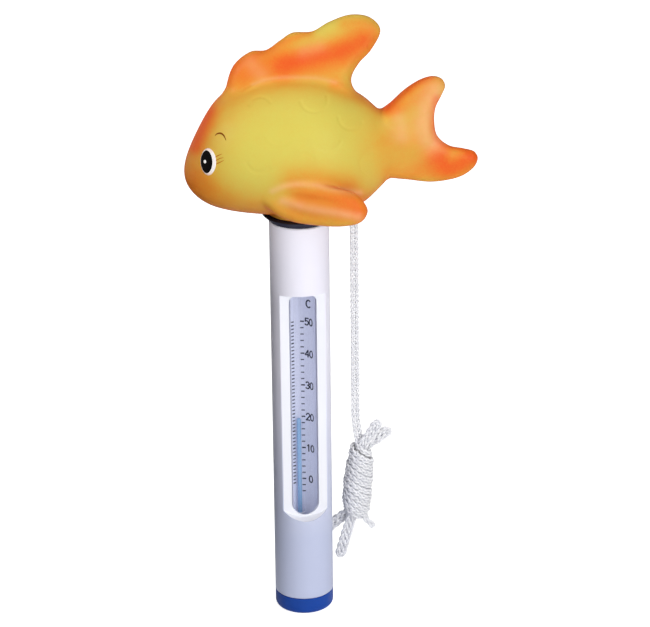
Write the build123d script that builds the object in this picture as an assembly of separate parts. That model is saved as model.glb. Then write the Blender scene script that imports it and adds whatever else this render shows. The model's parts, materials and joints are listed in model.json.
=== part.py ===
from build123d import *
import math
import os

# Floating pool thermometer, in millimetres. +Z is up and the tube's axis is
# the Z axis. z = 0 is the flat underside of the bottom cap. The fish lies in
# the XZ plane and looks along -X.

# Clearances
running_gap = 0.05       # radial, where one piece turns in another
seat_gap = 0.02          # between pieces that are held together
axial_gap = 0.1          # between faces that turn past each other

# Outer tube
tube_r = 12.0
bore_r = 10.0
tube_foot = 7.3          # lower edge of the tube
tube_top = 170.2
tube_edge_round = 0.8

# Window: a flat land milled across the tube's front, with a slot through it
window_turn = 7.5        # degrees about Z, from -Y towards +X
land_y = 7.6             # distance of the land from the tube's axis
land_wall = 1.9
recess_bottom = 43.2
recess_top = 141.0
recess_draft = 8.0       # degrees
recess_sag = 4.0         # how far the round lower end bows below its corners
slot_half_width = 5.6
slot_bottom = 43.9
slot_top = 140.3
slot_corner_r = 2.6

# Sealed insert that holds the thermometer
insert_r = 7.0
insert_wall = 0.6
insert_bottom = 23.5
insert_floor = 1.0
insert_top = 156.0
stopper_depth = 5.5
stopper_head = 1.5
insert_turn = 16.5       # degrees about Z, from +Y towards -X

# Scale card, rolled against the back of the insert
card_r = 6.35
card_thickness = 0.25
card_half_angle = 125.0  # degrees each side of the scale's centre line
card_bottom = 36.5
card_top = 150.0

# Scale: height = scale_zero + scale_step * degrees Celsius
scale_zero = 54.0
scale_step = 1.4
rest_celsius = 20.0

# Glass thermometer
glass_r = 1.6
glass_bore_r = 0.95
glass_top = 147.0
bulb_r = 1.75
bulb_bore_r = 1.35
bulb_bottom = 26.0
bulb_top = 36.0
spirit_gap = 0.05
clip_wire_r = 0.3
clip_heights = (40.0, 143.0)

# Collars that centre the insert in the bore
collar_floor = 2.4
lower_collar_top = 30.0
upper_collar_bottom = 148.0
upper_collar_top = 154.0

# Bottom cap and ballast
plug_r = 9.95
cap_round = 2.5
bottom_plug_top = 15.5
ballast_r = 7.4
ballast_bottom = 2.5
ballast_top = 18.0
ballast_pad_r = 9.2

# Seals
seal_wire_r = 0.7
seal_ring_r = 9.2        # to the middle of the wire
seal_groove_height = 1.8
bottom_seal_z = 11.5
top_seal_z = 163.5

# Top cap
top_plug_bottom = 158.0
top_plug_cup_r = 7.4
top_plug_roof = 168.0
flange_low_r = 11.5
flange_r = 14.6
flange_top = 173.15
spigot_r = 6.0
spigot_top = 187.0
spigot_bead_r = 6.6
spigot_bead_z = 182.0
spigot_bead_height = 1.6

# Eyelet for the tether, on the top cap
eyelet_turn = 30.0       # degrees about Z, from +X
eyelet_reach = 25.6      # tube axis to eyelet bar
eyelet_z = 169.6
eyelet_bar_r = 1.2
eyelet_arm_gap = 5.0
eyelet_arm_thickness = 2.0

# Fish float: stations are (x, centre z, half height, half width)
fish_stations = (
    (-45.0, 191.2, 2.6, 3.0),
    (-43.3, 191.8, 8.0, 8.5),
    (-39.5, 194.2, 13.6, 13.5),
    (-34.0, 197.4, 20.2, 18.5),
    (-26.0, 199.8, 24.8, 22.0),
    (-14.0, 201.3, 27.6, 24.0),
    (0.0, 201.8, 28.5, 24.5),
    (12.0, 201.5, 26.8, 22.5),
    (22.0, 200.6, 22.6, 17.0),
    (30.0, 200.4, 17.0, 11.0),
    (38.0, 201.9, 14.0, 6.6),
    (45.0, 203.6, 12.0, 3.6),
)
vinyl_wall = 2.2
hollow_first_x = -40.0
hollow_last_x = 31.0
fish_tail_points = (
    (34.0, 216.8), (43.5, 224.6), (50.5, 228.3), (56.6, 227.6), (56.8, 221.5), (53.7, 210.5),
    (55.6, 203.4), (62.5, 199.8), (69.8, 197.4), (69.6, 191.0), (62.0, 186.2), (50.5, 185.3),
    (35.0, 187.6),
)
fish_tail_half = 3.2
dorsal_points = (
    (-27.0, 226.0), (-24.6, 234.6), (-18.0, 240.0), (-10.5, 241.6), (-2.0, 247.2), (7.5, 248.8),
    (14.5, 252.5), (23.5, 254.3), (31.8, 251.2), (31.0, 243.0), (22.6, 231.8), (22.5, 223.5),
)
dorsal_root_z = 214.0
dorsal_half = 3.0
pectoral_centre = (6.0, 22.0, 185.0)
pectoral_size = (21.0, 6.5, 9.2)

# Neck of the fish and the plug that closes it
neck_r = 12.0
neck_hole_r = 8.45
neck_bottom = flange_top + axial_gap
neck_top = 179.0
neck_ring_r = 10.6
plug_flange_r = 10.3
plug_flange_height = 1.6
plug_top = 189.5

# Tether: one braided cord, doubled, with its spare length wound into a hank
cord_r = 1.0
strand_spacing = 1.96
loop_bottom = 161.0
drop_top = loop_bottom - axial_gap - cord_r
hank_pivot_z = 76.0
knuckle_r = 2.0
knuckle_length = 3.0
hank_centre = (23.2, 12.6, 50.0)
hank_length = 34.0
hank_r = 5.7
hank_end_r = 4.3
hank_tilt = 6.5          # degrees, lower end towards the tube
hank_bights = (
    # root, tip, half spread; each bight is a bend of the cord outside the hank
    ((25.6, 12.0, 65.0), (31.2, 10.6, 76.2), 1.7),
    ((27.0, 13.6, 64.0), (35.2, 13.6, 71.4), 1.7),
    ((21.0, 13.4, 36.0), (9.8, 15.6, 26.4), 1.7),
    ((20.6, 11.8, 35.0), (15.6, 11.6, 17.4), 1.7),
)
tail_end = ((24.6, 12.0, 35.0), (29.0, 11.4, 29.4))

BOTTOM = (Align.CENTER, Align.CENTER, Align.MIN)


def disc(radius, low, high):
    """An upright cylinder on the tube's axis."""
    return Pos(0, 0, low) * Cylinder(radius, high - low, align=BOTTOM)


def cone(low_radius, high_radius, low, high):
    """An upright cone on the tube's axis."""
    return Pos(0, 0, low) * Cone(low_radius, high_radius, high - low, align=BOTTOM)


def cord_along(path):
    """A round cord swept along a path."""
    start = Plane(origin=path @ 0, z_dir=path % 0)
    return sweep(start * Circle(cord_r), path=path)


def make_outer_tube():
    foot_edge = 0.4
    shell = disc(tube_r, tube_foot, tube_top)
    shell = fillet(shell.edges().group_by(Axis.Z)[-1], tube_edge_round)
    shell = chamfer(shell.edges().group_by(Axis.Z)[0], foot_edge)
    shell -= disc(bore_r, tube_foot, tube_top)

    # The wall behind the land, moulded in one piece with the tube
    wall_low = recess_bottom - 2 * land_wall
    wall_high = recess_top + 2 * land_wall
    wall = Pos(0, -(tube_r + land_y - land_wall) / 2, wall_low) * Box(
        2 * tube_r, tube_r - land_y + land_wall, wall_high - wall_low, align=BOTTOM
    )
    shell += wall & disc(tube_r - seat_gap, wall_low, wall_high)

    land = Plane(origin=(0, -land_y, 0), x_dir=(1, 0, 0), z_dir=(0, -1, 0))
    recess = extrude(land * recess_outline(), amount=tube_r, taper=-recess_draft)
    slot = extrude(land * slot_outline(), amount=land_y, both=True)
    slot &= Pos(0, -tube_r, 0) * Box(2 * tube_r, 2 * tube_r, 2 * tube_top)
    insert_room = disc(insert_r + 4 * running_gap, wall_low - 1, wall_high + 1)
    shell = shell - recess - slot - insert_room
    return Rot(0, 0, window_turn) * shell


def recess_outline():
    """Outline of the recess on the land: round below, nearly square above."""
    half = tube_r
    corner = recess_bottom + recess_sag * (half / 9.4) ** 2
    lower = ThreePointArc((-half, corner), (0, recess_bottom), (half, corner))
    sides = Polyline((half, corner), (half, recess_top), (-half, recess_top), (-half, corner))
    return make_face(lower + sides)


def slot_outline():
    """Outline of the slot: a half circle below, small corner rounds above."""
    half = slot_half_width
    low = slot_bottom + half
    lower = ThreePointArc((-half, low), (0, slot_bottom), (half, low))
    sides = Polyline((half, low), (half, slot_top), (-half, slot_top), (-half, low))
    face = make_face(lower + sides)
    corners = face.vertices().group_by(Axis.Y)[-1]
    return fillet(corners, slot_corner_r)


def seal_groove(height):
    low = height - seal_groove_height / 2
    high = height + seal_groove_height / 2
    return disc(bore_r, low, high) - disc(seal_ring_r - seal_wire_r - seat_gap, low, high)


def make_seal(height):
    return Pos(0, 0, height) * Torus(seal_ring_r, seal_wire_r)


def make_bottom_cap():
    head = disc(tube_r, 0, tube_foot - seat_gap)
    head = fillet(head.edges().group_by(Axis.Z)[0], cap_round)
    cap = head + disc(plug_r, tube_foot - seat_gap, bottom_plug_top)
    cap -= disc(ballast_r + seat_gap, ballast_bottom, bottom_plug_top)
    return cap - seal_groove(bottom_seal_z)


def make_ballast_weight():
    edge = 0.6
    slug = disc(ballast_r, ballast_bottom + seat_gap, ballast_top)
    return chamfer(slug.edges().filter_by(GeomType.CIRCLE), edge)


def make_ballast_pad():
    low = ballast_top + seat_gap
    return disc(ballast_pad_r, low, insert_bottom - collar_floor - axial_gap - seat_gap)


def make_lower_collar():
    low = insert_bottom - collar_floor - axial_gap
    collar = disc(plug_r, low, lower_collar_top)
    return collar - disc(insert_r + running_gap, low + collar_floor, lower_collar_top)


def make_upper_collar():
    collar = disc(plug_r, upper_collar_bottom, upper_collar_top)
    return collar - disc(insert_r + running_gap, upper_collar_bottom, upper_collar_top)


def make_eyelet():
    """Two arms and a round bar, standing out of the flange."""
    arm_end = eyelet_reach + eyelet_bar_r
    arm_low = eyelet_z - eyelet_bar_r
    arm_high = eyelet_z + eyelet_bar_r
    flange_foot = tube_top + 2 * axial_gap
    outline = Polyline(
        (spigot_r, flange_foot), (flange_r, flange_foot), (eyelet_reach - 2, arm_low),
        (arm_end, arm_low), (arm_end, arm_high), (flange_r + 4, flange_top),
        (spigot_r, flange_top), close=True,
    )
    side = (eyelet_arm_gap + eyelet_arm_thickness) / 2
    arm = extrude(Plane.XZ * make_face(outline), amount=eyelet_arm_thickness / 2, both=True)
    arms = Pos(0, side, 0) * arm + Pos(0, -side, 0) * arm
    bar_place = Pos(eyelet_reach, 0, eyelet_z) * Rot(90, 0, 0)
    bar = bar_place * Cylinder(eyelet_bar_r, eyelet_arm_gap + eyelet_arm_thickness)
    return Rot(0, 0, eyelet_turn) * (arms + bar)


def make_top_cap():
    tip_chamfer = 0.8
    cap = disc(plug_r, top_plug_bottom, tube_top + seat_gap)
    cap -= disc(top_plug_cup_r, top_plug_bottom, top_plug_roof)
    cap -= seal_groove(top_seal_z)
    cap += cone(flange_low_r, flange_r, tube_top + seat_gap, flange_top)
    spigot = disc(spigot_r, flange_top, spigot_top)
    spigot = chamfer(spigot.edges().group_by(Axis.Z)[-1], tip_chamfer)
    bead = disc(spigot_bead_r, spigot_bead_z, spigot_bead_z + spigot_bead_height)
    return cap + spigot + bead + make_eyelet()


def make_neck_plug():
    """Closes the fish's neck and snaps over the cap's spigot."""
    flange_low = neck_top + seat_gap
    top_round = 2.0
    plug = disc(neck_hole_r - seat_gap, neck_bottom, plug_top)
    plug = fillet(plug.edges().group_by(Axis.Z)[-1], top_round)
    plug += disc(plug_flange_r, flange_low, flange_low + plug_flange_height)
    socket = disc(spigot_r + running_gap, neck_bottom, spigot_top + axial_gap)
    bead_room = disc(
        spigot_bead_r + running_gap,
        spigot_bead_z - axial_gap,
        spigot_bead_z + spigot_bead_height + axial_gap,
    )
    return plug - socket - bead_room


def fish_body(inset):
    """The fish's rounded body, or its hollow when inset by the wall."""
    sections = []
    for x, middle, half_height, half_width in fish_stations:
        if inset and not hollow_first_x < x < hollow_last_x:
            continue
        place = Plane(origin=(x, 0, middle), x_dir=(0, 1, 0), z_dir=(1, 0, 0))
        sections.append(place * Ellipse(half_width - inset, half_height - inset))
    return loft(sections)


def flat_fin(curve, half_thickness):
    """A fin with parallel sides, drawn in the XZ plane."""
    return extrude(Plane.XZ * make_face(curve), amount=half_thickness, both=True)


def make_fish_float():
    first, last = fish_tail_points[0], fish_tail_points[-1]
    tail_curve = Spline(*fish_tail_points) + Line(last, first)
    front, back = dorsal_points[0], dorsal_points[-1]
    dorsal_curve = Spline(*dorsal_points) + Polyline(
        back, (back[0], dorsal_root_z), (front[0] + 6, dorsal_root_z), front
    )
    fish = fish_body(0)
    fish += flat_fin(tail_curve, fish_tail_half)
    fish += flat_fin(dorsal_curve, dorsal_half)
    fin_x, fin_y, fin_z = pectoral_centre
    for side in (-1, 1):
        fin = scale(Sphere(1), by=pectoral_size)
        fish += Pos(fin_x, side * fin_y, fin_z) * fin
    fish += disc(neck_r, neck_bottom, neck_top)
    fish -= fish_body(vinyl_wall) - disc(neck_ring_r, neck_bottom, neck_top)
    below_neck = disc(3 * neck_r, neck_bottom - 10, neck_bottom)
    return fish - disc(neck_hole_r, neck_bottom - 1, neck_top + 1) - below_neck


def make_clear_tube():
    shell = disc(insert_r, insert_bottom, insert_top)
    return shell - disc(insert_r - insert_wall, insert_bottom + insert_floor, insert_top)


def make_tube_stopper():
    stopper = disc(insert_r - insert_wall - seat_gap, insert_top - stopper_depth, insert_top)
    head_low = insert_top + seat_gap
    return stopper + disc(insert_r, head_low, head_low + stopper_head) + disc(
        insert_r - 1, insert_top, head_low
    )


def glass_place():
    """Axis of the glass, which lies against the inside of the card."""
    card_inside = card_r - card_thickness
    return Rot(0, 0, insert_turn) * Pos(0, card_inside - glass_r - seat_gap, 0)


def make_bulb_pad():
    pad_low = insert_bottom + insert_floor + seat_gap
    pad = disc(insert_r - insert_wall - seat_gap, pad_low, bulb_bottom + 2.5)
    room = disc(bulb_r + seat_gap, bulb_bottom - seat_gap, bulb_top)
    return pad - glass_place() * room


def make_scale_card():
    height = card_top - card_bottom
    sheet = disc(card_r, card_bottom, card_top)
    sheet -= disc(card_r - card_thickness, card_bottom, card_top)
    reach = 3 * card_r
    gap_side = 180 - card_half_angle
    edge = math.radians(90 - gap_side)
    corner = (reach * math.cos(edge), -reach * math.sin(edge))
    mirrored = (-corner[0], corner[1])
    gap = extrude(make_face(Polyline((0, 0), corner, mirrored, close=True)), amount=height)
    sheet -= Pos(0, 0, card_bottom) * gap
    sheet = Rot(0, 0, insert_turn) * sheet
    for z in clip_heights:
        sheet -= clip_feet(z, clip_wire_r + seat_gap)
    return sheet


def clip_feet(z, radius):
    """The two straight feet of a wire clip, through the card."""
    spread = glass_r + 2 * clip_wire_r
    feet = []
    for side in (-1, 1):
        inner = (side * spread, -clip_wire_r, 0)
        foot = Pos(*inner) * Rot(-90, 0, 0) * Cylinder(radius, glass_r + 1.2, align=BOTTOM)
        feet.append(glass_place() * Pos(0, 0, z) * foot)
    return feet[0] + feet[1]


def make_capillary_clips():
    """Wire clips that hold the glass to the card."""
    spread = glass_r + 2 * clip_wire_r
    clips = []
    for z in clip_heights:
        bend = Pos(0, 0, z) * Torus(spread, clip_wire_r)
        bend &= Pos(0, -spread, z) * Box(4 * spread, 2 * spread, 4 * clip_wire_r)
        clip = glass_place() * bend + clip_feet(z, clip_wire_r)
        clip &= disc(card_r - seat_gap, z - 1, z + 1)
        clips.append(clip)
    return Compound(children=clips)


def make_capillary_glass():
    glass = disc(glass_r, bulb_top, glass_top) + disc(bulb_r, bulb_bottom, bulb_top)
    glass = fillet(glass.edges().group_by(Axis.Z)[-1], glass_r / 2)
    glass = fillet(glass.edges().group_by(Axis.Z)[0], bulb_r / 2)
    wall = bulb_r - bulb_bore_r
    glass -= disc(bulb_bore_r, bulb_bottom + 2 * wall, bulb_top)
    glass -= disc(glass_bore_r, bulb_top, glass_top - 2 * wall)
    return glass_place() * glass


def make_bulb_spirit():
    wall = bulb_r - bulb_bore_r
    low = bulb_bottom + 2 * wall + spirit_gap
    return glass_place() * disc(bulb_bore_r - spirit_gap, low, bulb_top - spirit_gap)


def make_spirit_column():
    top = scale_zero + scale_step * rest_celsius
    return glass_place() * disc(glass_bore_r - spirit_gap, bulb_top, top)


def make_cord_loop():
    """The doubled cord's bend over the eyelet bar, down to where the strands meet."""
    over = eyelet_bar_r + running_gap + cord_r
    side = strand_spacing / 2
    rise = Spline((side, loop_bottom), (over, eyelet_z), tangents=((0, 1), (0, 1)))
    bend = ThreePointArc(
        (over, eyelet_z),
        (over * math.cos(math.pi / 4), eyelet_z + over * math.sin(math.pi / 4)),
        (0, eyelet_z + over),
    )
    path = Plane.XZ * (rise + bend)
    half = cord_along(path)
    both = half + mirror(half, about=Plane.YZ)
    return Rot(0, 0, eyelet_turn) * Pos(eyelet_reach, 0, 0) * both


def make_cord_drop():
    """Two strands side by side, domed where they meet the loop."""
    low = hank_pivot_z + knuckle_r + axial_gap
    drop = None
    for side in (-1, 1):
        strand = disc(cord_r, low, drop_top) + Pos(0, 0, drop_top) * Sphere(cord_r)
        strand = Pos(side * strand_spacing / 2, 0, 0) * strand
        drop = strand if drop is None else drop + strand
    return Rot(0, 0, eyelet_turn) * Pos(eyelet_reach, 0, 0) * drop


def make_bight(root, tip, half_spread):
    """A hairpin bend of cord, from the hank's root point out to its tip."""
    along = (Vector(*tip) - Vector(*root)).normalized()
    across = along.cross(Vector(0, 1, 0)).normalized()
    length = (Vector(*tip) - Vector(*root)).length - half_spread
    leg = Plane(origin=root, x_dir=along, z_dir=along.cross(across))
    out = Line((0, half_spread), (length, half_spread))
    bend = ThreePointArc(
        (length, half_spread), (length + half_spread, 0), (length, -half_spread)
    )
    back = Line((length, -half_spread), (0, -half_spread))
    return cord_along(leg * (out + bend + back))


def make_cord_hank():
    """Wound hank of spare cord, with its bights, its loose end and a top knuckle."""
    half = hank_length / 2
    side = Spline((hank_end_r, -half), (hank_r, 0), (hank_end_r, half))
    outline = side + Polyline((hank_end_r, half), (0, half), (0, -half), (hank_end_r, -half))
    barrel = revolve(Plane.XZ * make_face(outline), axis=Axis.Z)
    hank = Pos(*hank_centre) * Rot(0, hank_tilt, 0) * barrel
    for root, tip, half_spread in hank_bights:
        hank += make_bight(root, tip, half_spread)
    hank += cord_along(Line(*tail_end))
    pivot = Rot(0, 0, eyelet_turn) * Pos(eyelet_reach, 0, hank_pivot_z)
    knuckle = pivot * Rot(90, 0, 0) * Cylinder(knuckle_r, knuckle_length)
    neck_end = Vector(hank_centre[0] + 1.4, hank_centre[1], hank_centre[2] + half - 1)
    neck_top_point = pivot.position
    neck_line = Line(neck_top_point, neck_end)
    neck_start = Plane(origin=neck_line @ 0, z_dir=neck_line % 0)
    neck = sweep(neck_start * Circle(knuckle_r - axial_gap), path=neck_line)
    return hank + knuckle + neck


parts = {
    "outer_tube": make_outer_tube,
    "bottom_cap": make_bottom_cap,
    "bottom_seal": lambda: make_seal(bottom_seal_z),
    "ballast_weight": make_ballast_weight,
    "ballast_pad": make_ballast_pad,
    "lower_collar": make_lower_collar,
    "upper_collar": make_upper_collar,
    "top_cap": make_top_cap,
    "top_seal": lambda: make_seal(top_seal_z),
    "fish_float": make_fish_float,
    "neck_plug": make_neck_plug,
    "clear_tube": make_clear_tube,
    "tube_stopper": make_tube_stopper,
    "bulb_pad": make_bulb_pad,
    "scale_card": make_scale_card,
    "capillary_glass": make_capillary_glass,
    "capillary_clips": make_capillary_clips,
    "bulb_spirit": make_bulb_spirit,
    "spirit_column": make_spirit_column,
    "cord_loop": make_cord_loop,
    "cord_drop": make_cord_drop,
    "cord_hank": make_cord_hank,
}

os.makedirs("parts", exist_ok=True)
for name, make in parts.items():
    export_step(make(), f"parts/{name}.step")
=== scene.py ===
"""Looks of the floating pool thermometer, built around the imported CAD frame.

Lengths in this script are millimetres until a mesh is made; MM turns them into Blender's metres.
"""

import json
import math

import bpy
import numpy as np
from mathutils import Matrix, Vector


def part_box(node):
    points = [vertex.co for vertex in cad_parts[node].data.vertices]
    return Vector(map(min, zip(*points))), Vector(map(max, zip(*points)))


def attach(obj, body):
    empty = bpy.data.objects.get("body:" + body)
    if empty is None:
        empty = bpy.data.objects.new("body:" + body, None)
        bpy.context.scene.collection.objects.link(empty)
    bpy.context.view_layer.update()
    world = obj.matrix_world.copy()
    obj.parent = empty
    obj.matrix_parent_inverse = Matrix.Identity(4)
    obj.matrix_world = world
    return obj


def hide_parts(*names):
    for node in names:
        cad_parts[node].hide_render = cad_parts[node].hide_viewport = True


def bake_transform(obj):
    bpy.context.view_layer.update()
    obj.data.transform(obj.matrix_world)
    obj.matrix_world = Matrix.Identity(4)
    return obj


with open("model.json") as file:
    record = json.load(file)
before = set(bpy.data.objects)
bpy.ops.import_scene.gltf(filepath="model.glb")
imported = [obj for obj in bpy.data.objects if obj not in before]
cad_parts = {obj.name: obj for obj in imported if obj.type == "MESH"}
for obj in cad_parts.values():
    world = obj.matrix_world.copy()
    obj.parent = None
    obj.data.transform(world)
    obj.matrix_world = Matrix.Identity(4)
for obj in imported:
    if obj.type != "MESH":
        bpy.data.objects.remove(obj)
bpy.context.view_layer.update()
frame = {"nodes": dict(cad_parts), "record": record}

MM = 0.001
rng = np.random.default_rng(7)


def box_mm(node):
    """Lowest and highest corner of a CAD node, in millimetres."""
    low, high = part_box(node)
    return np.array(low) / MM, np.array(high) / MM


NOSE, _, NECK = box_mm("fish_float")[0]
TUBE_R, _, TUBE_TOP = box_mm("outer_tube")[1]
CARD_R = box_mm("scale_card")[1][0]


# ------------ mesh tools


def new_object(name, data):
    obj = bpy.data.objects.new(name, data)
    bpy.context.scene.collection.objects.link(obj)
    return obj


def new_mesh(name, points_mm, faces, look, smooth=True):
    """A mesh object in the frame's own axes, from points in millimetres."""
    mesh = bpy.data.meshes.new(name)
    mesh.from_pydata((np.asarray(points_mm, float) * MM).tolist(), [], [list(map(int, f)) for f in faces])
    mesh.validate()
    mesh.update()
    mesh.materials.append(look)
    mesh.polygons.foreach_set("use_smooth", [smooth] * len(mesh.polygons))
    return new_object(name, mesh)


def join_shapes(shapes):
    """Several (points, faces) as one."""
    points, faces = [], []
    start = 0
    for shape_points, shape_faces in shapes:
        points.append(shape_points)
        faces += [tuple(i + start for i in face) for face in shape_faces]
        start += len(shape_points)
    return np.vstack(points), faces


def ribbon_faces(count):
    """Faces of a ribbon whose points come in pairs, one to either side of its line."""
    return [(2 * k, 2 * k + 2, 2 * k + 3, 2 * k + 1) for k in range(count)]


def tube_faces(rings, sides):
    """Side faces of a tube whose points come ring by ring, and its first and last ring."""
    faces = []
    for ring in range(rings - 1):
        for k in range(sides):
            a, b = ring * sides + k, ring * sides + (k + 1) % sides
            faces.append((a, b, b + sides, a + sides))
    last = (rings - 1) * sides
    return faces, tuple(range(sides)), tuple(range(last, last + sides))


def around(count):
    """Evenly spaced angles of a full turn."""
    return np.linspace(0, 2 * math.pi, count, endpoint=False)


def unit(rows):
    """Each row scaled to length one."""
    return rows / np.linalg.norm(rows, axis=1, keepdims=True)


def headings(line):
    """Direction of travel at each point of a line."""
    return unit(np.gradient(line, axis=0))


def bow(x, y, wide, high, first, last, count=22):
    """Part of an ellipse, between two angles in degrees."""
    angles = np.radians(np.linspace(first, last, count))
    return np.stack([x + wide * np.cos(angles), y + high * np.sin(angles)], 1)


def smooth_step(low, high, x):
    t = np.clip((x - low) / (high - low), 0, 1)
    return t * t * (3 - 2 * t)


def smooth_min(a, b, k):
    """Union of two distance fields with a fillet of about k."""
    h = np.clip(0.5 + 0.5 * (b - a) / k, 0, 1)
    return b + (a - b) * h - k * h * (1 - h)


def spline_1d(xs, ys):
    """Natural cubic spline through (xs, ys), carried on straight outside."""
    xs, ys = np.asarray(xs, float), np.asarray(ys, float)
    n, h = len(xs), np.diff(xs)
    matrix, right = np.eye(n), np.zeros(n)
    for i in range(1, n - 1):
        matrix[i, i - 1 : i + 2] = h[i - 1], 2 * (h[i - 1] + h[i]), h[i]
        right[i] = 6 * ((ys[i + 1] - ys[i]) / h[i] - (ys[i] - ys[i - 1]) / h[i - 1])
    bend = np.linalg.solve(matrix, right)

    def value(x):
        inside = np.clip(x, xs[0], xs[-1])
        i = np.clip(np.searchsorted(xs, inside) - 1, 0, n - 2)
        a, b = (xs[i + 1] - inside) / h[i], (inside - xs[i]) / h[i]
        y = a * ys[i] + b * ys[i + 1]
        y = y + ((a**3 - a) * bend[i] + (b**3 - b) * bend[i + 1]) * h[i] ** 2 / 6
        first = (ys[1] - ys[0]) / h[0] - h[0] * bend[1] / 6
        last = (ys[-1] - ys[-2]) / h[-1] + h[-1] * bend[-2] / 6
        return y + np.minimum(x - xs[0], 0) * first + np.maximum(x - xs[-1], 0) * last

    return value


def smooth_outline(points, closed=True, steps=14):
    """Catmull-Rom curve through points."""
    p = np.asarray(points, float)
    before, after = (p[-1], p[:2]) if closed else (2 * p[0] - p[1], 2 * p[-1] - p[-2])
    p = np.vstack([before, p, after])
    t = np.arange(steps)[:, None] / steps
    out = []
    for a, b, c, d in zip(p, p[1:], p[2:], p[3:]):
        square, cube = 2 * a - 5 * b + 4 * c - d, 3 * b - a - 3 * c + d
        out.append(0.5 * (2 * b + (c - a) * t + square * t**2 + cube * t**3))
    if not closed:
        out.append(p[-2][None])
    return np.vstack(out)


def distance_to_line(points, line):
    """Distance of 2-D points to a polyline."""
    best = np.full(len(points), np.inf)
    for a, b in zip(line, line[1:]):
        ab = b - a
        t = np.clip(((points - a) @ ab) / max(ab @ ab, 1e-12), 0, 1)
        best = np.minimum(best, np.hypot(*(points - a - t[:, None] * ab).T))
    return best


def inside_outline(points, line):
    """True where a 2-D point is inside a closed polyline."""
    x, y = points.T
    odd = np.zeros(len(points), bool)
    for (xa, ya), (xb, yb) in zip(line, np.roll(line, -1, 0)):
        crosses = (ya > y) != (yb > y)
        odd ^= crosses & (x < xa + (y - ya) * (xb - xa) / (yb - ya + 1e-12))
    return odd


class FlatField:
    """Signed distance to a closed outline in the XZ plane, sampled on a fine grid."""

    STEP = 0.4

    def __init__(self, points, margin=12.0):
        line = smooth_outline(points)
        self.low = line.min(0) - margin
        count = np.ceil((line.max(0) + margin - self.low) / self.STEP).astype(int) + 2
        grid = np.stack(np.meshgrid(*[np.arange(c) for c in count], indexing="ij"), -1).reshape(-1, 2)
        where = self.low + grid * self.STEP
        sign = np.where(inside_outline(where, line), -1.0, 1.0)
        self.map = (distance_to_line(where, np.vstack([line, line[:1]])) * sign).reshape(count)

    def __call__(self, x, z):
        at = [(x - self.low[0]) / self.STEP, (z - self.low[1]) / self.STEP]
        i, k = (np.clip(np.floor(a).astype(int), 0, size - 2) for a, size in zip(at, self.map.shape))
        f, g = (np.clip(a - cell, 0, 1) for a, cell in zip(at, (i, k)))
        low = self.map[i, k] * (1 - f) + self.map[i + 1, k] * f
        high = self.map[i, k + 1] * (1 - f) + self.map[i + 1, k + 1] * f
        return low * (1 - g) + high * g


def surface_net(values, low, step):
    """Closed quad mesh of the zero level of a 3-D grid, negative inside."""
    inside = values < 0
    shape = np.array(values.shape)
    corner = np.stack(np.meshgrid(*[[0, 1]] * 3, indexing="ij"), -1).reshape(-1, 3)
    cells = tuple(shape - 1)
    count = sum(inside[tuple(slice(c, c + n) for c, n in zip(k, cells))].astype(int) for k in corner)
    mixed = (count > 0) & (count < 8)
    index = -np.ones(cells, int)
    index[mixed] = np.arange(mixed.sum())
    base = np.argwhere(mixed)
    total, hits = np.zeros((len(base), 3)), np.zeros(len(base))
    for a in corner:
        for axis in range(3):
            if a[axis]:
                continue
            b = a + np.eye(3, dtype=int)[axis]
            va, vb = values[tuple((base + a).T)], values[tuple((base + b).T)]
            cut = (va < 0) != (vb < 0)
            t = np.where(cut, va / np.where(cut, va - vb, 1), 0)
            total += np.where(cut, 1, 0)[:, None] * (a + t[:, None] * (b - a))
            hits += cut
    points = low + step * (base + total / hits[:, None])
    quads = []
    for axis in range(3):
        first = [slice(1, n - 1) for n in shape]
        second = list(first)
        first[axis], second[axis] = slice(0, shape[axis] - 1), slice(1, shape[axis])
        a, b = inside[tuple(first)], inside[tuple(second)]
        at = np.argwhere(a != b)
        flip = a[tuple(at.T)]
        at = at + (np.arange(3) != axis)
        u, v = np.roll(np.eye(3, dtype=int), -axis - 1, 0)[:2]
        ring = np.stack([index[tuple((at - cell).T)] for cell in (u + v, v, 0 * u, u)], 1)
        ring[~flip] = ring[~flip][:, ::-1]
        quads.append(ring)
    return points, np.vstack(quads)


def split_quads(points, quads):
    """Each quad becomes four, with new points on its edges and in its middle."""
    n = len(points)
    edges = np.sort(np.stack([quads, np.roll(quads, -1, 1)], -1).reshape(-1, 2), 1)
    unique, back = np.unique(edges, axis=0, return_inverse=True)
    back = back.reshape(quads.shape) + n
    middle = np.arange(len(quads)) + n + len(unique)
    points = np.vstack([points, points[unique].mean(1), points[quads].mean(1)])
    parts = [np.stack([quads[:, k], back[:, k], middle, back[:, k - 1]], 1) for k in range(4)]
    return points, np.vstack(parts)


def pull_to_surface(points, field, rounds=3, small=0.05, longest_step=0.6):
    """Moves points along the field's slope until it is zero there."""
    for _ in range(rounds):
        value = field(*points.T)
        slope = np.stack([(field(*(points + d).T) - value) / small for d in np.eye(3) * small], 1)
        size = np.maximum((slope**2).sum(1), 0.05)
        points = points - slope * np.clip(value / size, -longest_step, longest_step)[:, None]
    return points


# ------------ fish shape
# Fish lengths are measured from the nose (x), from the middle plane (y) and
# from the neck's seat (z).

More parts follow.
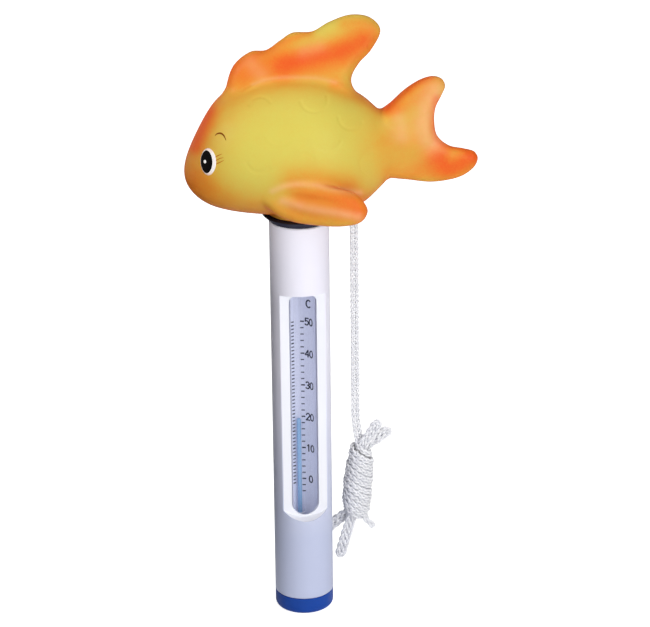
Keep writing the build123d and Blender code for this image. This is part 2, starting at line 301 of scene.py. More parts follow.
FISH_ORIGIN = (NOSE, 0, NECK)
BODY_STATIONS = (
    # x, middle z, half height, half width
    (0.0, 17.8, 0.0, 0.0),
    (2.2, 18.9, 8.1, 8.0),
    (6.0, 21.0, 14.1, 13.2),
    (11.5, 24.1, 20.2, 18.0),
    (19.5, 26.6, 24.7, 21.8),
    (31.5, 28.0, 27.5, 24.0),
    (45.5, 28.4, 28.5, 24.6),
    (57.5, 27.6, 27.0, 22.8),
    (67.5, 26.2, 23.3, 17.4),
    (71.5, 25.9, 21.0, 14.4),
    (75.5, 25.9, 17.4, 11.4),
    (79.8, 26.4, 13.4, 8.6),
    (84.5, 28.2, 10.0, 6.0),
    (92.0, 30.0, 7.0, 4.0),
    (98.0, 30.5, 0.0, 0.0),
)
TAIL_OUTLINE = (
    (70.0, 36.0), (77.0, 41.4), (81.3, 44.6), (87.2, 50.2), (93.1, 54.1), (98.0, 55.5), (101.6, 54.4),
    (103.0, 51.4), (101.6, 47.6), (99.3, 42.6), (98.8, 37.0), (100.0, 31.0), (104.6, 26.9), (110.2, 25.6),
    (114.6, 24.2), (116.0, 21.0), (113.8, 17.0), (108.0, 13.5), (98.0, 11.9), (88.0, 13.2), (79.0, 14.6),
    (70.0, 17.0), (67.0, 27.0),
)
DORSAL_OUTLINE = (
    (17.2, 46.0), (17.4, 52.5), (20.4, 60.9), (26.9, 66.3), (33.2, 67.0), (38.7, 70.8), (43.7, 73.9),
    (51.2, 74.3), (57.8, 78.0), (66.0, 80.8), (73.6, 79.7), (77.8, 74.4), (74.2, 66.7), (69.3, 61.2),
    (66.4, 55.4), (66.6, 48.0), (61.0, 42.0), (45.0, 38.0), (26.0, 38.0),
)
PECTORAL_OUTLINE = (
    (31.5, 12.0), (36.0, 18.4), (44.0, 20.6), (54.0, 19.4), (62.5, 17.0), (67.6, 15.2),
    (70.6, 12.0), (71.8, 8.2), (68.8, 4.2), (61.5, 2.6), (51.0, 2.4), (42.0, 3.2), (35.0, 6.4),
)
# Lines raised or sunk in the skin, in side view: points, height, width
SKIN_LINES = (
    # rim of the side fin, its grooves and its lower rib
    (((33, 8.4), (40, 11.0), (46, 11.6), (52, 10.9), (58, 9.4), (66, 8.2), (74, 7.4)), 0.4, 1.3),
    (((38, 7.4), (47.5, 6.0), (55, 5.0), (63, 3.7), (72, 1.9)), -0.45, 1.5),
    (((36, 6.2), (46, 3.0), (53, 1.4), (61, 0.0), (72, -2.6)), 0.4, 1.7),
    (((39, 1.2), (47, -1.4), (53, -2.5), (62, -3.6)), -0.35, 1.5),
    # welt where the back fin leaves the body
    (((22, 48.6), (31.4, 54.0), (38.4, 55.2), (46.2, 55.3), (54, 54.7), (60, 53.2), (67, 49.6)), 0.5, 0.85),
)
# Engraved scales: centre x, centre height, radius, first and last angle in degrees
SCALE_ARCS = (
    (30.8, 43.4, 4.4, 30, 165), (51.6, 46.4, 5.2, 190, 375), (56.6, 31.0, 5.6, 185, 340),
    (74.2, 19.6, 5.0, 75, 250), (38.0, 33.0, 5.2, 200, 330), (66.0, 39.0, 5.0, 180, 330),
    (47.0, 19.0, 5.2, 40, 150), (30.0, 22.0, 5.0, 190, 320),
)
VIEW_SLOPE = 0.336       # height in side view = z minus this times the distance off the middle plane
# Radius and height of the neck: its outside, the lip that grips the cap, and the hollow above it
NECK_R, NECK_HEIGHT = 12.0, 6.0
LIP_R, LIP_HEIGHT = 8.45, 5.7
HOLLOW_R, HOLLOW_HEIGHT = 10.7, 17.5
# The grid that the skin is first made on
GRID_LOW, GRID_HIGH, GRID_STEP = (-3.0, -33.0, -2.5), (118.5, 33.0, 83.5), 1.08


def side_view_of(points):
    """Points on the skin as seen from the side: along the fish, and up."""
    return np.stack([points[:, 0], points[:, 2] - VIEW_SLOPE * np.abs(points[:, 1])], 1)


class Fish:
    """The fish as one implicit surface, negative inside, and the relief of its skin."""

    def __init__(self):
        x, middle, high, wide = np.array(BODY_STATIONS).T
        self.middle = spline_1d(x, middle)
        self.square = spline_1d(x, high**2)
        inner = slice(1, -1)
        self.flatness = spline_1d(x[inner], high[inner] / wide[inner])
        self.tail = FlatField(TAIL_OUTLINE)
        self.dorsal = FlatField(DORSAL_OUTLINE)
        self.pectoral = FlatField(PECTORAL_OUTLINE)
        self.lines = [(smooth_outline(p, closed=False, steps=6), h, w, 7.0) for p, h, w in SKIN_LINES]
        self.lines += [(bow(x, z, r, r, *ends, 12), -0.17, 0.7, 0.0) for x, z, r, *ends in SCALE_ARCS]

    def body(self, x, y, z):
        small = 0.5
        side = np.clip(x, -4, 102)
        square = self.square(side)
        slope = (self.square(side + small) - square) / small
        flat = self.flatness(np.clip(x, 2.2, 92.0))
        up = z - self.middle(side)
        value = up**2 + (flat * y) ** 2 - square
        return value / np.sqrt(slope**2 + 4 * up**2 + 4 * (flat**2 * y) ** 2 + 1.0)

    def relief(self, points):
        """Height of the raised and sunk lines at points on the skin."""
        side_view = side_view_of(points)
        total = np.zeros(len(points))
        for line, height, width, fade in self.lines:
            if fade:
                x, (first, last) = side_view[:, 0], line[[0, -1], 0]
                height = height * smooth_step(first, first + fade, x) * smooth_step(last, last - fade, x)
            total += height * np.exp(-((distance_to_line(side_view, line) / width) ** 2))
        return total * smooth_step(3.0, 7.0, np.abs(points[:, 1]))

    def outward(self, points, small=0.05):
        return unit(np.stack([self(*(points + d).T) - self(*(points - d).T) for d in np.eye(3) * small], 1))

    @staticmethod
    def fin(flat_distance, off_middle, half_thickness, edge):
        """A fin whose rim is rounded over a width of edge."""
        rim = np.maximum(flat_distance + edge, 0) / edge
        return (np.hypot(rim, off_middle / half_thickness) - 1) * np.minimum(half_thickness, edge)

    def __call__(self, x, y, z):
        whole = self.body(x, y, z)
        # The tail and the back fin grow thicker towards the body
        thick = 2.6 + 3.4 * smooth_step(100.0, 78.0, x)
        whole = smooth_min(whole, self.fin(self.tail(x, z), y, thick, 4.2), 1.8)
        thick = 3.0 + 2.2 * smooth_step(76.0, 54.0, z)
        whole = smooth_min(whole, self.fin(self.dorsal(x, z), y, thick, 5.0), 3.0)
        # The side fins stand farther off the middle plane towards their tips
        off = np.abs(y) - (17.0 + 7.5 * smooth_step(30.0, 66.0, x))
        whole = smooth_min(whole, self.fin(self.pectoral(x, z), off, 4.4, 4.2), 2.4)
        from_axis = np.hypot(x + NOSE, y)
        whole = smooth_min(whole, np.maximum(from_axis - NECK_R, z - NECK_HEIGHT), 1.5)
        whole = np.maximum(whole, -z)
        bore = np.where(z < LIP_HEIGHT, LIP_R, HOLLOW_R)
        return np.maximum(whole, -np.maximum(from_axis - bore, z - HOLLOW_HEIGHT))


# ------------ materials


def rgb(red, green, blue):
    """Linear colour from screen values 0 to 255."""
    values = [c / 255 for c in (red, green, blue)]
    return tuple(c / 12.92 if c <= 0.04045 else ((c + 0.055) / 1.055) ** 2.4 for c in values) + (1.0,)


class Look:
    """A node material, built up one node at a time around a Principled shader."""

    def __init__(self, name, **inputs):
        self.material = bpy.data.materials.new(name)
        self.material.use_nodes = True
        self.tree = self.material.node_tree
        self.shader = self.tree.nodes["Principled BSDF"]
        self.put(self.shader, inputs)
        self.place = self.tree.nodes.new("ShaderNodeTexCoord").outputs["Object"]

    def put(self, node, inputs):
        for key, value in inputs.items():
            socket = node.inputs[key if isinstance(key, int) else key.replace("_", " ")]
            if isinstance(value, bpy.types.NodeSocket):
                self.tree.links.new(value, socket)
            else:
                socket.default_value = value

    def node(self, kind, inputs, **settings):
        node = self.tree.nodes.new("ShaderNode" + kind)
        for key, value in settings.items():
            setattr(node, key, value)
        self.put(node, inputs)
        return node

    def attribute(self, name):
        return self.node("Attribute", {}, attribute_name=name).outputs["Fac"]

    def noise(self, size_mm, detail=3.0, stretch=(1, 1, 1)):
        """Noise from 0 to 1 whose blobs are about size_mm across."""
        where = self.node("Mapping", {"Vector": self.place, "Scale": stretch}).outputs[0]
        scale = 1.0 / (size_mm * MM)
        return self.node("TexNoise", {"Vector": where, "Scale": scale, "Detail": detail}).outputs["Fac"]

    def math(self, operation, a, b=0.0):
        return self.node("Math", {0: a, 1: b}, operation=operation).outputs[0]

    def cloud(self, low, high, *noise):
        """Noise, which stays near a half, stretched over low to high."""
        limits = {"From Min": 0.3, "From Max": 0.7, "To Min": low, "To Max": high}
        return self.node("MapRange", {"Value": self.noise(*noise), **limits}).outputs["Result"]

    def ramp(self, value, stops):
        node = self.node("ValToRGB", {"Fac": value})
        elements = node.color_ramp.elements
        while len(elements) < len(stops):
            elements.new(0.5)
        for element, (position, colour) in zip(elements, stops):
            element.position = position
            element.color = colour
        return node.outputs["Color"]

    def mix(self, amount, a, b):
        return self.node("MixRGB", {"Fac": amount, "Color1": a, "Color2": b}).outputs[0]

    def paint(self, colour, roughness):
        self.put(self.shader, {"Base Color": colour, "Roughness": roughness})

    def bump(self, height, depth_mm, strength=1.0):
        inputs = {"Height": height, "Distance": depth_mm * MM, "Strength": strength}
        self.put(self.shader, {"Normal": self.node("Bump", inputs).outputs["Normal"]})


def moulded(name, colour, roughness, grain_mm, grain_depth_mm=0.01, tint=0.06, **inputs):
    """Moulded plastic, rubber, foam or metal: faint mottling, uneven polish and a fine grain."""
    look = Look(name, **inputs)
    dark = tuple(c * (1 - tint) for c in colour[:3]) + (1.0,)
    light = tuple(min(1.0, c * (1 + tint) + tint * 0.02) for c in colour[:3]) + (1.0,)
    cloud = look.cloud(0.0, 1.0, 14.0)
    base = look.mix(cloud, dark, light)
    polish = look.cloud(roughness * 0.85, roughness * 1.15, 5.0)
    look.paint(base, polish)
    look.bump(look.noise(grain_mm, 4.0), grain_depth_mm)
    return look.material


def white_tube(name):
    """White ABS whose colour carries painted light: painted shade makes it darker and bluer towards its
    bottom, and a painted highlight makes it whiter inside the window recess.
    """
    look = Look(name)
    parts = look.node("SeparateXYZ", {"Vector": look.place}).outputs
    share = look.math("DIVIDE", parts["Z"], TUBE_TOP * MM)
    cloud = look.cloud(-0.02, 0.02, 18.0)
    # Painted shade: the colour darkens and turns bluer towards the bottom of the tube
    stops = ((0.20, rgb(194, 201, 228)), (0.48, rgb(228, 229, 246)), (0.66, rgb(241, 239, 251)))
    skin = look.ramp(look.math("ADD", share, cloud), stops)
    across = look.math("MULTIPLY", parts["X"], parts["X"])
    radius = look.math("SQRT", look.math("ADD", across, look.math("MULTIPLY", parts["Y"], parts["Y"])))
    # Painted highlight: inside the window recess the colour is made whiter
    recess = look.math("LESS_THAN", radius, (TUBE_R - 0.25) * MM)
    look.paint(look.mix(recess, skin, rgb(243, 244, 251)), look.cloud(0.32, 0.40, 5.0))
    look.bump(look.noise(2.5, 4.0), 0.004)
    return look.material


def clear(name, colour, facing_alpha, edge_alpha, roughness):
    """Thin clear plastic or glass: nearly unseen face on, and denser at its edges."""
    look = Look(name, IOR=1.45)
    facing = look.node("LayerWeight", {"Blend": 0.35}).outputs["Facing"]
    inputs = {"Value": facing, "To Min": facing_alpha, "To Max": edge_alpha}
    alpha = look.node("MapRange", inputs).outputs["Result"]
    polish = look.cloud(roughness * 0.7, roughness * 1.3, 6.0)
    look.put(look.shader, {"Base Color": colour, "Alpha": alpha, "Roughness": polish})
    look.bump(look.noise(9.0, 1.0, (1, 1, 0.1)), 0.02, 0.5)
    return look.material


def printed_card(name):
    """Coated card with a faint fibre and a faint bluish painted glow."""
    # Painted light: the emission makes the card glow faintly, though it is no lamp
    look = Look(name, **{"Specular IOR Level": 0.35, "Emission Strength": 0.12,
                         "Emission Color": rgb(200, 200, 236)})
    fibre = look.cloud(0.0, 1.0, 0.5, 5.0, (1, 1, 0.35))
    card = look.mix(fibre, rgb(212, 216, 231), rgb(222, 226, 240))
    look.paint(card, look.cloud(0.5, 0.62, 3.0))
    look.bump(fibre, 0.008)
    return look.material


def braided_nylon(name):
    """White cord yarn with fine fibres, random dust, and painted shade that greys the hollows between the
    yarns.
    """
    look = Look(name, **{"Subsurface Weight": 0.15, "Subsurface Scale": 0.6 * MM,
                         "Subsurface Radius": (1.0, 1.0, 1.0), "Sheen Weight": 0.25})
    fibre = look.cloud(0.0, 1.0, 0.16, 2.0, (1, 1, 0.4))
    dust = look.cloud(0.0, 0.5, 4.0)
    fresh = look.mix(fibre, rgb(238, 238, 241), rgb(252, 252, 253))
    worn = look.mix(dust, fresh, rgb(228, 228, 234))
    # Painted shade: where ambient occlusion finds the yarns closed in, the colour turns grey
    open_to_light = look.node("AmbientOcclusion", {"Distance": 1.0 * MM}, samples=8).outputs["AO"]
    inputs = {"Value": open_to_light, "From Min": 0.35, "From Max": 0.85, "To Min": 0.45, "To Max": 0.0}
    hollow = look.node("MapRange", inputs).outputs["Result"]
    look.paint(look.mix(hollow, worn, rgb(158, 161, 178)), 0.62)
    look.bump(fibre, 0.03, 0.4)
    return look.material


def dyed_spirit(name):
    look = Look(name, IOR=1.36, **{"Coat Weight": 0.4, "Coat Roughness": 0.1})
    slow = look.cloud(0.0, 1.0, 9.0, 2.0, (1, 1, 0.5))
    look.paint(look.mix(slow, rgb(142, 184, 224), rgb(160, 200, 236)), 0.22)
    return look.material


def print_ink(name, colour):
    """Pad-printed ink: nearly flat, a touch uneven where it thins out."""
    look = Look(name, **{"Specular IOR Level": 0.05})
    thin = look.cloud(0.0, 0.35, 0.7, 3.0)
    lighter = tuple(c * 1.2 + 0.002 for c in colour[:3]) + (1.0,)
    look.paint(look.mix(thin, colour, lighter), look.cloud(0.3, 0.42, 2.0))
    return look.material


def sprayed_vinyl(name):
    """Soft vinyl under airbrushed paint, driven by the spray and pale amounts stored on the mesh. The pale
    amount is partly painted highlight, and the paint darkens towards the outline as painted shade.
    """
    look = Look(name, **{"Subsurface Weight": 0.12, "Subsurface Scale": 2.0 * MM,
                         "Subsurface Radius": (1.0, 0.55, 0.25), "Specular IOR Level": 0.18})
    cloud = look.cloud(-0.03, 0.03, 6.0, 4.0)
    speckle = look.cloud(-0.035, 0.035, 0.7, 2.0)
    spray = look.math("ADD", look.math("ADD", look.attribute("spray"), cloud), speckle)
    paint = look.ramp(spray, SPRAY_COLOURS)
    # Pale amount: thin paint, and in part painted highlights
    pale = look.math("MULTIPLY", look.attribute("pale"), look.cloud(0.8, 1.1, 3.0, 4.0))
    # Painted shade: the colour darkens to red-orange where the skin turns away towards the outline
    facing = look.node("LayerWeight", {"Blend": 0.5}).outputs["Facing"]
    rim = look.math("MULTIPLY", look.math("POWER", facing, 3.0), 0.95)
    base = look.mix(rim, look.mix(pale, paint, rgb(246, 192, 150)), rgb(226, 86, 20))
    look.paint(base, look.cloud(0.42, 0.56, 4.0))
    look.bump(look.noise(0.8, 5.0), 0.03, 0.6)
    return look.material


def floor_look():
    """Pale studio floor, lifted to white for the camera only."""
    look = Look("floor", Roughness=0.7, **{"Emission Color": (1, 1, 1, 1)})
    cloud = look.cloud(0.0, 1.0, 300.0)
    seen = look.node("LightPath", {}).outputs["Is Camera Ray"]
    look.put(look.shader, {
        "Base Color": look.mix(cloud, rgb(249, 249, 250), rgb(252, 252, 252)),
        "Emission Strength": look.math("MULTIPLY", seen, 0.90),
    })
    return look.material


# ------------ fish paint

# Paint from bare yellow vinyl to the densest red-orange spray
SPRAY_COLOURS = (
    (0.00, rgb(207, 192, 84)),
    (0.25, rgb(211, 179, 74)),
    (0.45, rgb(216, 161, 60)),
    (0.65, rgb(222, 137, 44)),
    (0.85, rgb(224, 110, 30)),
    (1.00, rgb(224, 86, 20)),
)
# Strokes of the airbrush in side view: points, reach, strength
SPRAY_STROKES = (
    # forehead and nose
    (((12, 44), (8, 36), (5, 27), (3, 20), (3, 14)), 12.5, 0.44),
    (((10.5, 42), (7, 33.5), (4.8, 28)), 3.4, 0.90),
    # belly
    (((5, 13), (12, 7), (22, 3), (35, 0), (50, -2), (66, 2)), 8.4, 0.47),
    # back fin
    (((18, 54), (21, 61), (29, 65), (40, 70), (50, 74)), 2.4, 0.55),
    (((64, 77.5), (73, 77), (76.5, 72)), 3.4, 0.42),
    (((23, 58), (30, 61), (38, 61)), 6.0, 0.46),
    (((40, 61), (47, 62.5), (56, 64.5), (64, 67), (71, 70)), 5.4, 0.90),
    (((24, 57), (40, 59), (58, 61), (68, 65)), 11.0, 0.55),
    # back edge ahead of the tail
    (((60, 52), (67, 48), (72, 45.5), (78, 42.5), (83, 42)), 3.6, 0.45),
    # tail
    (((80, 43), (87, 49), (92, 53), (97, 55.5)), 2.2, 0.85),
    (((82, 42), (88, 44.5), (93, 48), (97, 51.5), (101, 54)), 3.4, 0.38),
    (((99.5, 46), (99, 32), (102.5, 27), (110, 25.5), (115, 22)), 2.0, 0.75),
    (((101, 21.5), (104, 18), (108, 18.5), (113, 21)), 6.6, 0.92),
    (((82, 14), (90, 15), (100, 17)), 6.0, 0.52),
    (((82, 29), (91, 31), (98, 44)), 13.0, 0.50),
    # side fin and the overspray above it
    (((46, 6), (54, 5), (62, 3), (70, 1)), 8.0, 0.50),
    (((43, 14), (52, 14.5), (64, 11)), 6.5, 0.40),
    (((46, 7), (55, 6.5), (66, 4.5)), 2.2, 0.28),
    (((68, 1), (71, -1)), 4.0, 0.45),
)
# Pale patches, partly thin paint where the pale vinyl shows and partly painted highlights on the tail, the
# back fin, the welt and the side fin: points, reach, strength
THIN_PAINT_AND_HIGHLIGHT_STROKES = (
    (((99, 49), (96, 42), (95, 34), (98, 28)), 4.5, 0.34),
    (((85, 38), (86, 31)), 3.0, 0.22),
    (((27, 62), (31, 57)), 3.0, 0.16),
    (((48, 66), (54, 68)), 3.0, 0.14),
    # painted highlights along the welt and along the side fin's rim and lower rib
    (((28, 52.9), (33, 54.8), (38.4, 55.5), (46.2, 55.5), (54, 55), (60, 53.4)), 0.9, 0.22),
    (((35, 9.3), (40, 11.4), (46, 12), (52, 11.2), (58, 9.8), (69, 8)), 1.3, 0.32),
    (((39, 5.0), (46, 2.8), (53, 1.2), (61, -0.2), (68, -1.9)), 1.8, 0.34),
)


def painted_amount(side_view, strokes):
    """Builds up strokes: each one covers part of what is still bare."""
    bare = np.ones(len(side_view))
    for points, reach, strength in strokes:
        line = smooth_outline(points, closed=False, steps=6)
        bare *= 1 - strength * np.exp(-((distance_to_line(side_view, line) / reach) ** 2))
    return 1 - bare


# ------------ fish eye
# The eye is pad-printed. Its shapes are in side view, like the spray.

# Centre and half size
EYE = ((10.15, 21.6), (3.1, 5.6))
PUPIL = ((9.5, 21.6), (2.3, 4.7))
GLINT = ((8.9, 21.7), (0.5, 0.7))
LASHES = (
    ((12.9, 23.4), (14.3, 24.2), (15.7, 24.7)),
    ((13.1, 22.0), (14.6, 22.8), (16.2, 23.3)),
    ((13.3, 20.6), (14.7, 21.3), (16.3, 22.1)),
)
BROW = ((13.0, 32.3), (14.1, 33.1), (15.4, 33.1), (16.5, 32.1), (17.3, 30.2))
EYE_OFF = 16.5           # how far off the middle plane the eye lies
INK_TUCK = 0.1           # how deep the rim of the ink lies under the skin
PATCH_RINGS = 9


def onto_skin(fish, side_view, side):
    """Points on the skin at these side-view points, and the skin's outward direction there."""
    x, v = np.asarray(side_view, float).T
    start, step = GRID_HIGH[1] - 1, 0.5
    far, near = np.full(len(x), start), np.zeros(len(x))
    for off in np.arange(start, 0.0, -step):
        outside = fish(x, side * off, v + VIEW_SLOPE * off) > 0
        blocked = near > 0
        far = np.where(outside & ~blocked, off, far)
        near = np.where(~outside & ~blocked, off, near)
    for _ in range(12):
        middle = (far + near) / 2
        outside = fish(x, side * middle, v + VIEW_SLOPE * middle) > 0
        far, near = np.where(outside, middle, far), np.where(outside, near, middle)
    points = np.stack([x, side * near, v + VIEW_SLOPE * near], 1)
    return points, fish.outward(points)


def printed(fish, flat, heights, faces):
    """A film of ink on both sides of the fish, at heights over the skin."""
    films = []
    for side in (-1, 1):
        skin, out = onto_skin(fish, flat, side)
        points = skin + out * np.asarray(heights)[:, None] + FISH_ORIGIN
        films.append((points, faces if side < 0 else [face[::-1] for face in faces]))
    return join_shapes(films)


def printed_patch(fish, shape, pointed, lift, count=48):
    """An oval of ink, its rim tucked under the skin."""
    centre, half = np.array(shape)
    angles = around(count)
    narrow = np.sign(np.cos(angles)) * np.abs(np.cos(angles)) ** pointed
    outline = half * np.stack([narrow, np.sin(angles)], 1)
    flat = [centre + outline * k / PATCH_RINGS for k in range(1, PATCH_RINGS + 1)]
    flat = np.vstack([[centre], *flat, flat[-1]])
    heights = [lift] * (len(flat) - count) + [-1.2 * INK_TUCK] * count
    rings, first, _ = tube_faces(PATCH_RINGS + 1, count)
    faces = [(0, 1 + a, 1 + b) for a, b in zip(first, first[1:] + first[:1])]
    return printed(fish, flat, heights, faces + [tuple(1 + k for k in face[::-1]) for face in rings])


def printed_stroke(fish, line, widths, lift=0.04):
    """A thin tapering line of ink."""
    line = smooth_outline(line, closed=False, steps=6)
    along = headings(line)
    across = np.stack([-along[:, 1], along[:, 0]], 1)
    width = np.interp(np.linspace(0, 1, len(line)), np.linspace(0, 1, len(widths)), widths)
    steps, heights = (-1, -0.9, 0, 0.9, 1), [-INK_TUCK, lift, lift, lift, -INK_TUCK]
    flat = np.stack([line + across * (step * width / 2)[:, None] for step in steps], 1).reshape(-1, 2)
    corners = [(5 * k + row, 5 * k + row + 5) for k in range(len(line) - 1) for row in range(4)]
    return printed(fish, flat, heights * len(line), [(a + 1, b + 1, b, a) for a, b in corners])


def eye_white_look():
    """White ink that turns pink and thin towards the eye's two ends."""
    look = Look("eye_white_ink", Roughness=0.38)
    height = look.node("SeparateXYZ", {"Vector": look.place}).outputs["Z"]
    middle = (NECK + EYE[0][1] + VIEW_SLOPE * EYE_OFF) * MM
    away = look.math("ABSOLUTE", look.math("SUBTRACT", height, middle))
    share = look.math("DIVIDE", away, EYE[1][1] * MM)
    blotch = look.cloud(-0.05, 0.05, 1.2)
    white, pink = rgb(252, 244, 240), rgb(246, 214, 196)
    stops = ((0.0, white), (0.6, white), (0.95, pink))
    look.put(look.shader, {"Base Color": look.ramp(look.math("ADD", share, blotch), stops)})
    return look.material


def build_eye(fish):
    """The eye's inks, each laid a little higher than the one below it."""
    shapes = {
        "eye_white": printed_patch(fish, EYE, 1.1, 0.05),
        "eye_pupil": printed_patch(fish, PUPIL, 1.1, 0.10),
        "eye_glint": printed_patch(fish, GLINT, 1.0, 0.15, 24),
        "eye_lashes": join_shapes([printed_stroke(fish, lash, (0.42, 0.4, 0.15)) for lash in LASHES]),
        "eye_brow": printed_stroke(fish, BROW, (0.25, 0.6, 0.75, 0.6, 0.2)),
    }
    inks = {
        "eye_white": eye_white_look(),
        "eye_pupil": print_ink("eye_black_ink", rgb(12, 8, 8)),
        "eye_glint": print_ink("eye_glint_ink", rgb(250, 246, 240)),
        "eye_lashes": print_ink("eye_lash_ink", rgb(186, 104, 30)),
        "eye_brow": print_ink("eye_brow_ink", rgb(128, 66, 16)),
    }
    for name, (points, faces) in shapes.items():
        obj = new_mesh(name, points, faces, inks[name])
        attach(obj, "fish")


def build_fish():
    fish = Fish()
    axes = [low + GRID_STEP * np.arange(math.ceil((high - low) / GRID_STEP))
            for low, high in zip(GRID_LOW, GRID_HIGH)]
    points, quads = surface_net(fish(*np.meshgrid(*axes, indexing="ij")), GRID_LOW, GRID_STEP)
    points = pull_to_surface(points, fish)
    points, quads = split_quads(points, quads)
    points = pull_to_surface(points, fish)
    side_view = side_view_of(points)
    points = points + fish.outward(points) * fish.relief(points)[:, None]
    obj = new_mesh("fish_skin", points + FISH_ORIGIN, quads, sprayed_vinyl("fish_paint"))
    for name, strokes in (("spray", SPRAY_STROKES), ("pale", THIN_PAINT_AND_HIGHLIGHT_STROKES)):
        amount = obj.data.attributes.new(name, "FLOAT", "POINT")
        amount.data.foreach_set("value", painted_amount(side_view, strokes).astype(np.float32))
    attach(obj, "fish")
    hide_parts("fish_float")
    build_eye(fish)


# ------------ scale print

CARD_THICK = 0.25
PRINT_R = CARD_R - CARD_THICK - 0.025
SCALE_TURN = math.radians(90 + 16.5)
ZERO_Z = 54.0            # height of 0 degrees Celsius
DEGREE = 1.4             # height of one degree Celsius
UNIT_AT = 55.6           # degrees Celsius beside which the unit letters stand
# Ticks: readings, inner end, then outer end and thickness of a fine tick and of a fifth one.
# Digits and unit letter: place along the card, size, stroke.
SCALES = {
    "C": {"ticks": range(-4, 52, 2), "inner": 1.6, "outer": (3.0, 3.2), "thick": (0.50, 0.60),
          "labels": range(0, 60, 10), "digits": (5.35, 3.15, 0.58), "letter": (5.3, 3.4, 0.62)},
    "F": {"ticks": range(30, 124, 2), "inner": -1.1, "outer": (-3.3, -3.6), "thick": (0.52, 0.60),
          "labels": range(40, 140, 20), "digits": (-5.3, 2.4, 0.44), "letter": (-4.9, 3.5, 0.55)},
}


def on_card(along, height):
    """Point printed on the inside of the rolled card; along runs to the right from the scale's middle."""
    angle = SCALE_TURN - along / PRINT_R
    return PRINT_R * math.cos(angle), PRINT_R * math.sin(angle), height


def tick(height, start, end, thick):
    """A printed line, bent with the card."""
    stations = np.linspace(start, end, 6)
    points = [on_card(s, height + side * thick / 2) for s in stations for side in (-1, 1)]
    return np.array(points), ribbon_faces(len(stations) - 1)


def bars(*corners):
    """Straight strokes from corner to corner."""
    share = np.linspace(0, 1, 8)[:, None]
    return [np.array(a) + share * (np.array(b) - np.array(a)) for a, b in zip(corners, corners[1:])]


# Strokes of each letter, one unit high
LETTERS = {
    "0": [bow(0, 0, 0.28, 0.46, 0, 360)],
    "1": bars((-0.14, 0.30), (0.04, 0.46), (0.04, -0.46)),
    "2": [bow(0, 0.21, 0.26, 0.25, 165, -35)] + bars((0.21, 0.07), (-0.28, -0.46), (0.30, -0.46)),
    "3": [bow(-0.02, 0.23, 0.25, 0.23, 145, -90), bow(-0.02, -0.23, 0.28, 0.23, 90, -145)],
    "4": bars((0.13, -0.46), (0.13, 0.46), (-0.30, -0.16), (0.32, -0.16)),
    "5": bars((0.25, 0.46), (-0.19, 0.46), (-0.22, 0.05)) + [bow(-0.03, -0.17, 0.29, 0.29, 130, -145)],
    "6": [bow(0, -0.18, 0.26, 0.28, 0, 360), bow(0.26, -0.16, 0.52, 0.62, 180, 100)],
    "8": [bow(0, 0.24, 0.22, 0.22, 0, 360), bow(0, -0.22, 0.27, 0.24, 0, 360)],
    "C": [bow(0, 0, 0.36, 0.46, 48, 312)],
    "F": bars((-0.20, -0.46), (-0.20, 0.46), (0.28, 0.46)) + bars((-0.20, 0.04), (0.20, 0.04)),
}


def lettering(text, along, height, size, stroke):
    """Digits or a unit letter drawn with strokes and bent with the card."""
    shapes = []
    for place, letter in enumerate(text):
        middle = along + 0.62 * size * (place - (len(text) - 1) / 2)
        for line in LETTERS[letter]:
            line = line * [size * 0.88, size]
            ahead = headings(line)
            line[[0, -1]] += ahead[[0, -1]] * [[-stroke / 3], [stroke / 3]]
            aside = np.stack([-ahead[:, 1], ahead[:, 0]], 1) * stroke / 2
            rim = np.stack([line - aside, line + aside], 1).reshape(-1, 2)
            points = np.array([on_card(middle + x, height + z) for x, z in rim])
            shapes.append((points, ribbon_faces(len(line) - 1)))
    return join_shapes(shapes)


def height_of(reading, letter):
    """Height of a reading, in degrees of the scale with that unit letter."""
    return ZERO_Z + DEGREE * (reading if letter == "C" else (reading - 32) / 1.8)


def build_scale_print():
    bold, fine = [], []
    for letter, scale in SCALES.items():
        for reading in scale["ticks"]:
            fifth = reading % 10 == 0
            outer, thick = scale["outer"][fifth], scale["thick"][fifth]
            (bold if fifth else fine).append(tick(height_of(reading, letter), scale["inner"], outer, thick))
        place, size, stroke = scale["digits"]
        for reading in scale["labels"]:
            bold.append(lettering(str(reading), place, height_of(reading, letter), size, stroke))
        place, size, stroke = scale["letter"]
        bold.append(lettering(letter, place, height_of(UNIT_AT, "C"), size, stroke))
    prints = {"scale_print_bold": (bold, rgb(52, 54, 72)), "scale_print_fine": (fine, rgb(70, 72, 96))}
    for name, (shapes, ink) in prints.items():
        obj = new_mesh(name, *join_shapes(shapes), print_ink(name + "_ink", ink), smooth=False)
        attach(obj, "thermometer")


# ------------ spirit thread


def turned(rings, centre, sides=20):
    """A closed form turned about an upright axis from (radius, height) rings."""
    x, y = centre
    points = [(x + r * math.cos(a), y + r * math.sin(a), z) for r, z in rings for a in around(sides)]
    faces, bottom, top = tube_faces(len(rings), sides)
    return points, [bottom[::-1], *faces, top]


def build_spirit():
    """The blue thread, with the domed surface that liquid has in a fine bore."""
    low, high = box_mm("spirit_column")
    radius = (high[0] - low[0]) / 2
    dome = np.radians(np.linspace(0, 80, 6))
    rings = [(radius * 0.5, low[2])]
    rings += [(radius, z) for z in np.linspace(low[2], high[2] - radius, 48)]
    rings += [(radius * math.cos(a), high[2] - radius + radius * math.sin(a)) for a in dome[1:]]
    obj = new_mesh("spirit_thread", *turned(rings, (low + high)[:2] / 2), dyed_spirit("spirit_dye"))
    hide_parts("spirit_column")
    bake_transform(obj)


# ------------ tether cord

